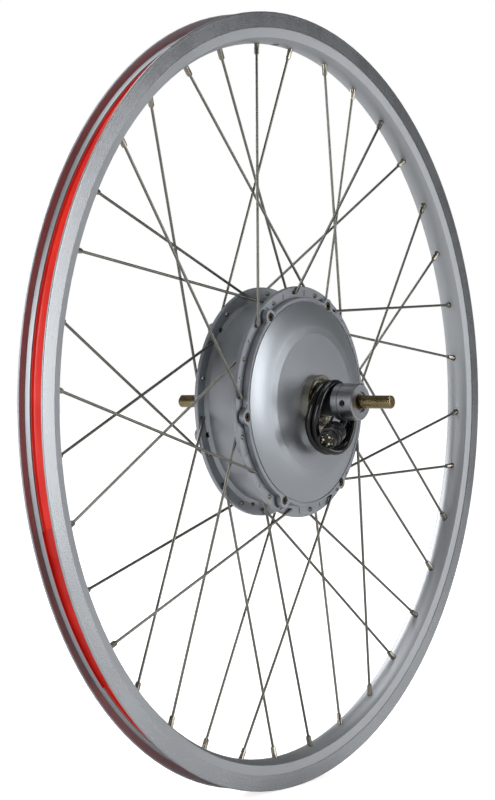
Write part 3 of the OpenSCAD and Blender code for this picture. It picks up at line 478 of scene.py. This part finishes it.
# Rubber, plastic or board: cloudy tone and soft grain, no metal
def plasticMaterial(name, s):
    mat, tree, shader, coords = blankMaterial(name)
    cloud = noiseNode(tree, coords, s.get("cloudScale", 60), 4)
    colour = rampNode(tree, cloud, [(0.3, s["dark"]), (0.7, s["light"])])
    tree.links.new(colour, shader.inputs["Base Color"])
    grain = noiseNode(tree, coords, 1800, 2)
    smear = noiseNode(tree, coords, 25, 5, 0.65)
    rough = mathNode(tree, "ADD", rangeNode(tree, grain, 0.3, 0.7, s["rough"] - 0.04, s["rough"] + 0.05),
                     rangeNode(tree, smear, 0.35, 0.65, -0.04, 0.04))
    tree.links.new(rough, shader.inputs["Roughness"])
    normal = bumpNode(tree, grain, s.get("grainBump", 0.2), grainDepth)
    if "waves" in s:
        scale, strength, height = s["waves"]
        normal = bumpNode(tree, noiseNode(tree, coords, scale, 2), strength, height, normal)
    tree.links.new(normal, shader.inputs["Normal"])
    shader.inputs["Specular IOR Level"].default_value = s.get("gloss", 0.5)
    return mat


# Colours are linear, scales are per metre, and places are metres from the axis or along it
finishes = {
    "hub_paint": ("metal", {"dark": (0.27, 0.29, 0.315), "light": (0.30, 0.32, 0.345), "metallic": 0.8,
                            "rough": 0.36, "cloudScale": 12, "grainScale": 3500, "grainBump": 0.12,
                            "coat": 0.2, "coatRough": 0.3}),
    "rim_alloy": ("metal", {"dark": (0.34, 0.355, 0.375), "light": (0.38, 0.395, 0.415), "rough": 0.5,
                            "track": (0.2736, 0.01015), "trackRough": -0.27, "noGrain": True,
                            "roughSpread": 0.0, "cloudScale": 9, "turnedLines": 900, "linesRough": 0.09,
                            "turnedBand": (0.2742, 0.2853, 0.0002),
                            "channel": (0.2745, 0.009), "channelRough": -0.04}),
    "spoke_steel": ("metal", {"dark": (0.13, 0.13, 0.115), "light": (0.17, 0.165, 0.15), "rough": 0.32,
                              "cloudScale": 12, "grainScale": 300, "grainBump": 0.004, "roughSpread": 0.02}),
    "nipple_brass": ("metal", {"dark": (0.19, 0.175, 0.145), "light": (0.29, 0.27, 0.23), "rough": 0.24,
                               "grainBump": 0.02}),
    "cap_steel": ("metal", {"dark": (0.36, 0.345, 0.28), "light": (0.46, 0.44, 0.36), "rough": 0.2,
                            "turnedLines": 2200, "linesBump": 0.25}),
    "sleeve_steel": ("metal", {"dark": (0.27, 0.28, 0.30), "light": (0.33, 0.34, 0.36), "rough": 0.34,
                               "turnedLines": 3000, "linesBump": 0.1}),
    "axle_steel": ("metal", {"dark": (0.17, 0.13, 0.065), "light": (0.26, 0.205, 0.11), "rough": 0.24,
                             "cloudScale": 45, "grainScale": 400, "grainBump": 0.01,
                             "threadPitch": 0.00125, "threadBand": (0.0675, 0.0932, 0.0003),
                             "threadBump": 0.06, "threadDepth": 0.0003}),
    "cover_screw": ("metal", {"dark": (0.07, 0.06, 0.045), "light": (0.20, 0.155, 0.09), "rough": 0.3,
                              "cloudScale": 300}),
    "bearing_steel": ("metal", {"dark": (0.45, 0.45, 0.45), "light": (0.55, 0.55, 0.55), "rough": 0.15}),
    "tool_steel": ("metal", {"dark": (0.05, 0.05, 0.05), "light": (0.08, 0.08, 0.08), "rough": 0.35}),
    "cast_carrier": ("metal", {"dark": (0.35, 0.36, 0.37), "light": (0.42, 0.43, 0.44), "rough": 0.55}),
    "lamination": ("metal", {"dark": (0.16, 0.16, 0.17), "light": (0.22, 0.22, 0.23), "rough": 0.5}),
    "copper": ("metal", {"dark": (0.45, 0.20, 0.09), "light": (0.62, 0.28, 0.13), "rough": 0.3}),
    "cage_brass": ("metal", {"dark": (0.45, 0.34, 0.13), "light": (0.58, 0.45, 0.18), "rough": 0.3}),
    "pin_gold": ("metal", {"dark": (0.70, 0.60, 0.38), "light": (0.85, 0.75, 0.50), "rough": 0.18}),
    "magnet": ("metal", {"dark": (0.40, 0.41, 0.42), "light": (0.48, 0.49, 0.50), "rough": 0.25}),
    "board": ("plastic", {"dark": (0.01, 0.09, 0.03), "light": (0.02, 0.13, 0.05), "rough": 0.4}),
    "black_plastic": ("plastic", {"dark": (0.005, 0.005, 0.006), "light": (0.009, 0.009, 0.01),
                                  "rough": 0.3}),
    "lead_wire": ("plastic", {"dark": (0.35, 0.02, 0.02), "light": (0.45, 0.03, 0.03), "rough": 0.4}),
    "cable_rubber": ("plastic", {"dark": (0.003, 0.003, 0.0035), "light": (0.006, 0.006, 0.007),
                                 "rough": 0.13, "gloss": 0.35, "grainBump": 0.06}),
    "collar_rubber": ("plastic", {"dark": (0.008, 0.008, 0.009), "light": (0.015, 0.015, 0.016),
                                  "rough": 0.5}),
    "gasket": ("plastic", {"dark": (0.03, 0.03, 0.032), "light": (0.05, 0.05, 0.052), "rough": 0.7}),
    "tape_red": ("plastic", {"dark": (0.58, 0.012, 0.006), "light": (0.74, 0.024, 0.012), "rough": 0.36,
                             "cloudScale": 25, "grainBump": 0.3, "waves": (60, 0.5, 0.0012)}),
    # where the tape lies double it is darker
    "tapeLap": ("plastic", {"dark": (0.40, 0.006, 0.003), "light": (0.52, 0.012, 0.006), "rough": 0.36,
                            "cloudScale": 25, "grainBump": 0.3, "waves": (60, 0.5, 0.0012)}),
}
makers = {"metal": metalMaterial, "plastic": plasticMaterial}
materials = {name: makers[kind](name, values) for name, (kind, values) in finishes.items()}
for part in frame["record"]["subparts"]:
    piece = nodes[part["node"]]
    piece.data.materials.clear()
    piece.data.materials.append(materials[part["material_slot"]])
print("materials made:", len(materials))

# Spoke nipples, in millimetres: round shank, square flats for the key, round head in the rim
nippleSet = {
    "sides": 24, "shankRadius": 2.05, "show": 8, "seat": 2.8,
    "flats": 3.5, "flatsTop": -2.4, "flatsBlend": 0.5, "tip": 1.1, "tipShrink": 0.8,
    "headRadius": 3, "headHeight": 2.2, "crown": 0.6, "crownShrink": 0.8,
    "rimBed": 263.3, "stagger": 0.6, "perFlange": 18, "cross": 2, "lacingTurn": 8.2,
    "holeCircle": 80.7, "nearFlange": 16.8, "farFlange": 19.4, "flange": 3.2, "elbowOut": 1.9,
}


def makeNipple(s):
    bpy.ops.mesh.primitive_cylinder_add(vertices=s["sides"], radius=s["shankRadius"],
                                        depth=s["show"] + s["seat"],
                                        location=(0, 0, (s["seat"] - s["show"]) / 2))
    bpy.ops.object.transform_apply(location=True)
    nipple = bpy.context.object
    top, bottom = s["seat"], -s["show"]
    pick("face", lambda c: c.z > top - 0.01)
    bpy.ops.mesh.extrude_region_move(TRANSFORM_OT_translate={"value": (0, 0, 0)})
    grow = s["headRadius"] / s["shankRadius"]
    bpy.ops.transform.resize(value=(grow, grow, 1), center_override=(0, 0, top))
    bpy.ops.mesh.extrude_region_move(TRANSFORM_OT_translate={"value": (0, 0, s["headHeight"] - s["crown"])})
    bpy.ops.mesh.extrude_region_move(TRANSFORM_OT_translate={"value": (0, 0, s["crown"])})
    bpy.ops.transform.resize(value=(s["crownShrink"], s["crownShrink"], 1),
                             center_override=(0, 0, top + s["headHeight"]))
    pick("face", lambda c: c.z < bottom + 0.01)
    bpy.ops.mesh.extrude_region_move(TRANSFORM_OT_translate={"value": (0, 0, -0.001)})
    for level in (s["flatsTop"], s["flatsTop"] - s["flatsBlend"], bottom + s["tip"]):
        bpy.ops.mesh.select_all(action="SELECT")
        bpy.ops.mesh.bisect(plane_co=(0, 0, level), plane_no=(0, 0, 1))
    flat = s["flats"] / 2
    for x, y in ((1, 0), (-1, 0), (0, 1), (0, -1)):
        pick("point", lambda c: c.z < s["flatsTop"] - s["flatsBlend"] / 2 and c.x * x + c.y * y > flat)
        bpy.ops.transform.resize(value=(0 if x else 1, 0 if y else 1, 1),
                                 center_override=(flat * x, flat * y, 0))
    pick("point", lambda c: c.z < bottom + s["tip"] / 2)
    bpy.ops.transform.resize(value=(s["tipShrink"], s["tipShrink"], 1), center_override=(0, 0, bottom))
    bpy.ops.object.mode_set(mode="OBJECT")
    return nipple


# Where the k-th spoke of a flange meets the rim, and the way it points there
def spokeLine(s, side, outer, k):
    holeStep = 360 / s["perFlange"]
    start = s["lacingTurn"] + (holeStep / 2 if side > 0 else 0) + (0 if outer else holeStep)
    sweep = (-1 if outer else 1) * s["cross"] * holeStep
    turn = start + 2 * k * holeStep
    flange = s["nearFlange"] if side > 0 else s["farFlange"]
    height = flange + (s["elbowOut"] if outer else -s["flange"] - s["elbowOut"])
    elbow = polar(s["holeCircle"], turn, side * height)
    seat = polar(s["rimBed"], turn + sweep, side * s["stagger"])
    return seat, (seat - elbow).normalized()


def makeNipples(s):
    model = makeNipple(s)
    for side, node in ((1, "near_nipples"), (-1, "far_nipples")):
        copies = []
        for outer in (True, False):
            for k in range(s["perFlange"] // 2):
                seat, along = spokeLine(s, side, outer, k)
                piece = model.copy()
                piece.data = model.data.copy()
                bpy.context.scene.collection.objects.link(piece)
                turn = along.to_track_quat("Z", "Y").to_matrix().to_4x4()
                piece.data.transform(Matrix.Scale(0.001, 4) @ Matrix.Translation(seat) @ turn)
                copies.append(piece)
        bpy.ops.object.select_all(action="DESELECT")
        for piece in copies:
            piece.select_set(True)
        bpy.context.view_layer.objects.active = copies[0]
        bpy.ops.object.join()
        copies[0].name = "nearNippleSet" if side > 0 else "farNippleSet"
        dressPiece(copies[0], node, "wheel", slotOf[node])
    bpy.data.objects.remove(model)


# Rim tape, in metres: a thin band that dips between its edges, with its slanted overlap
tapeSet = {
    "radius": 0.27575, "width": 0.0098, "thick": 0.0005, "dip": 0.00022, "sides": 288, "rows": 6,
    "turnOut": 0.0003, "turnUp": 0.0019, "soften": 0.00012,
    "valveTurn": 93.2, "valveHole": 0.0085, "valveSides": 48, "valveReach": 0.03,
    "lapTurn": 210, "lapSpan": 26, "lapClimb": 0.0027, "lapSlants": (0.35, 0.1),
    "lapShift": 0.0002, "lapWidth": 0.0097, "lapLift": 1.3,      # lifted by this many thicknesses
}


# A closed band, lower in its middle, whose two edges turn outwards and climb
def tapeBand(s, radius, width, climb):
    rows = [width * (k / s["rows"] - 0.5) for k in range(1, s["rows"])]
    bpy.ops.mesh.primitive_cylinder_add(vertices=s["sides"], radius=radius, depth=width,
                                        end_fill_type="NOTHING", rotation=(math.pi / 2, 0, 0))
    bpy.ops.object.transform_apply(rotation=True)
    for y in rows:
        bpy.ops.object.mode_set(mode="EDIT")
        bpy.ops.mesh.select_all(action="SELECT")
        bpy.ops.mesh.bisect(plane_co=(0, y, 0), plane_no=(0, 1, 0))
    for y in rows:
        pick("point", lambda c: abs(c.y - y) < 1e-5)
        sink = 1 - s["dip"] * (1 - (2 * y / width) ** 2) / radius
        bpy.ops.transform.resize(value=(sink, 1, sink), center_override=(0, 0, 0))
    for side in (-1, 1):
        pick("edge", lambda c: c.y * side > width / 2 - 1e-5)
        bpy.ops.mesh.extrude_region_move(TRANSFORM_OT_translate={"value": (0, side * s["turnOut"], 0)})
        bpy.ops.transform.resize(value=(1 + climb / radius, 1, 1 + climb / radius), center_override=(0, 0, 0))
    bpy.ops.object.mode_set(mode="OBJECT")
    return bpy.context.object


def makeTape(s):
    tape = tapeBand(s, s["radius"], s["width"], s["turnUp"])
    tape.name = "rimTape"
    thicken(tape, s["thick"])
    soften(tape, s["soften"])
    turn = math.radians(s["valveTurn"])
    bpy.ops.mesh.primitive_cylinder_add(vertices=s["valveSides"], radius=s["valveHole"] / 2,
                                        depth=s["valveReach"],
                                        location=Vector((math.cos(turn), 0, math.sin(turn))) * s["radius"],
                                        rotation=(0, math.pi / 2 - turn, 0))
    cutter = bpy.context.object
    bpy.context.view_layer.objects.active = tape
    hole = tape.modifiers.new("hole", "BOOLEAN")
    hole.operation = "DIFFERENCE"
    hole.object = cutter
    bpy.ops.object.modifier_apply(modifier="hole")
    bpy.data.objects.remove(cutter)
    dressPiece(tape, "rim_tape", "wheel", slotOf["rim_tape"])

    lap = tapeBand(s, s["radius"] + s["thick"] * s["lapLift"], s["lapWidth"], s["lapClimb"])
    lap.name = "rimTapeOverlap"
    bpy.ops.object.mode_set(mode="EDIT")
    middle = math.radians(s["lapTurn"])
    for end, slant in zip((-1, 1), s["lapSlants"]):
        edge = middle + end * math.radians(s["lapSpan"] / 2)
        across = Vector((-math.sin(edge), 0, math.cos(edge))) * end
        across = (across + Vector((0, slant, 0))).normalized()
        bpy.ops.mesh.select_all(action="SELECT")
        bpy.ops.mesh.bisect(plane_co=(s["radius"] * math.cos(edge), 0, s["radius"] * math.sin(edge)),
                            plane_no=across, clear_outer=True)
    pick("face", lambda c: c.x * math.cos(middle) + c.z * math.sin(middle) < 0)
    bpy.ops.mesh.delete(type="FACE")
    bpy.ops.object.mode_set(mode="OBJECT")
    lap.data.transform(Matrix.Translation((0, s["lapShift"], 0)))
    thicken(lap, s["thick"])
    dressPiece(lap, "rim_tape", "wheel", slotOf["rim_tape"], finish="tapeLap")


makeNipples(nippleSet)
makeTape(tapeSet)
print("nipples and rim tape made")

for piece, finish in newPieces:
    piece.data.materials.clear()
    piece.data.materials.append(materials[finish])
cable.data.materials.append(materials["cable_rubber"])
print("finishes given to", len(newPieces) + 1, "new pieces")
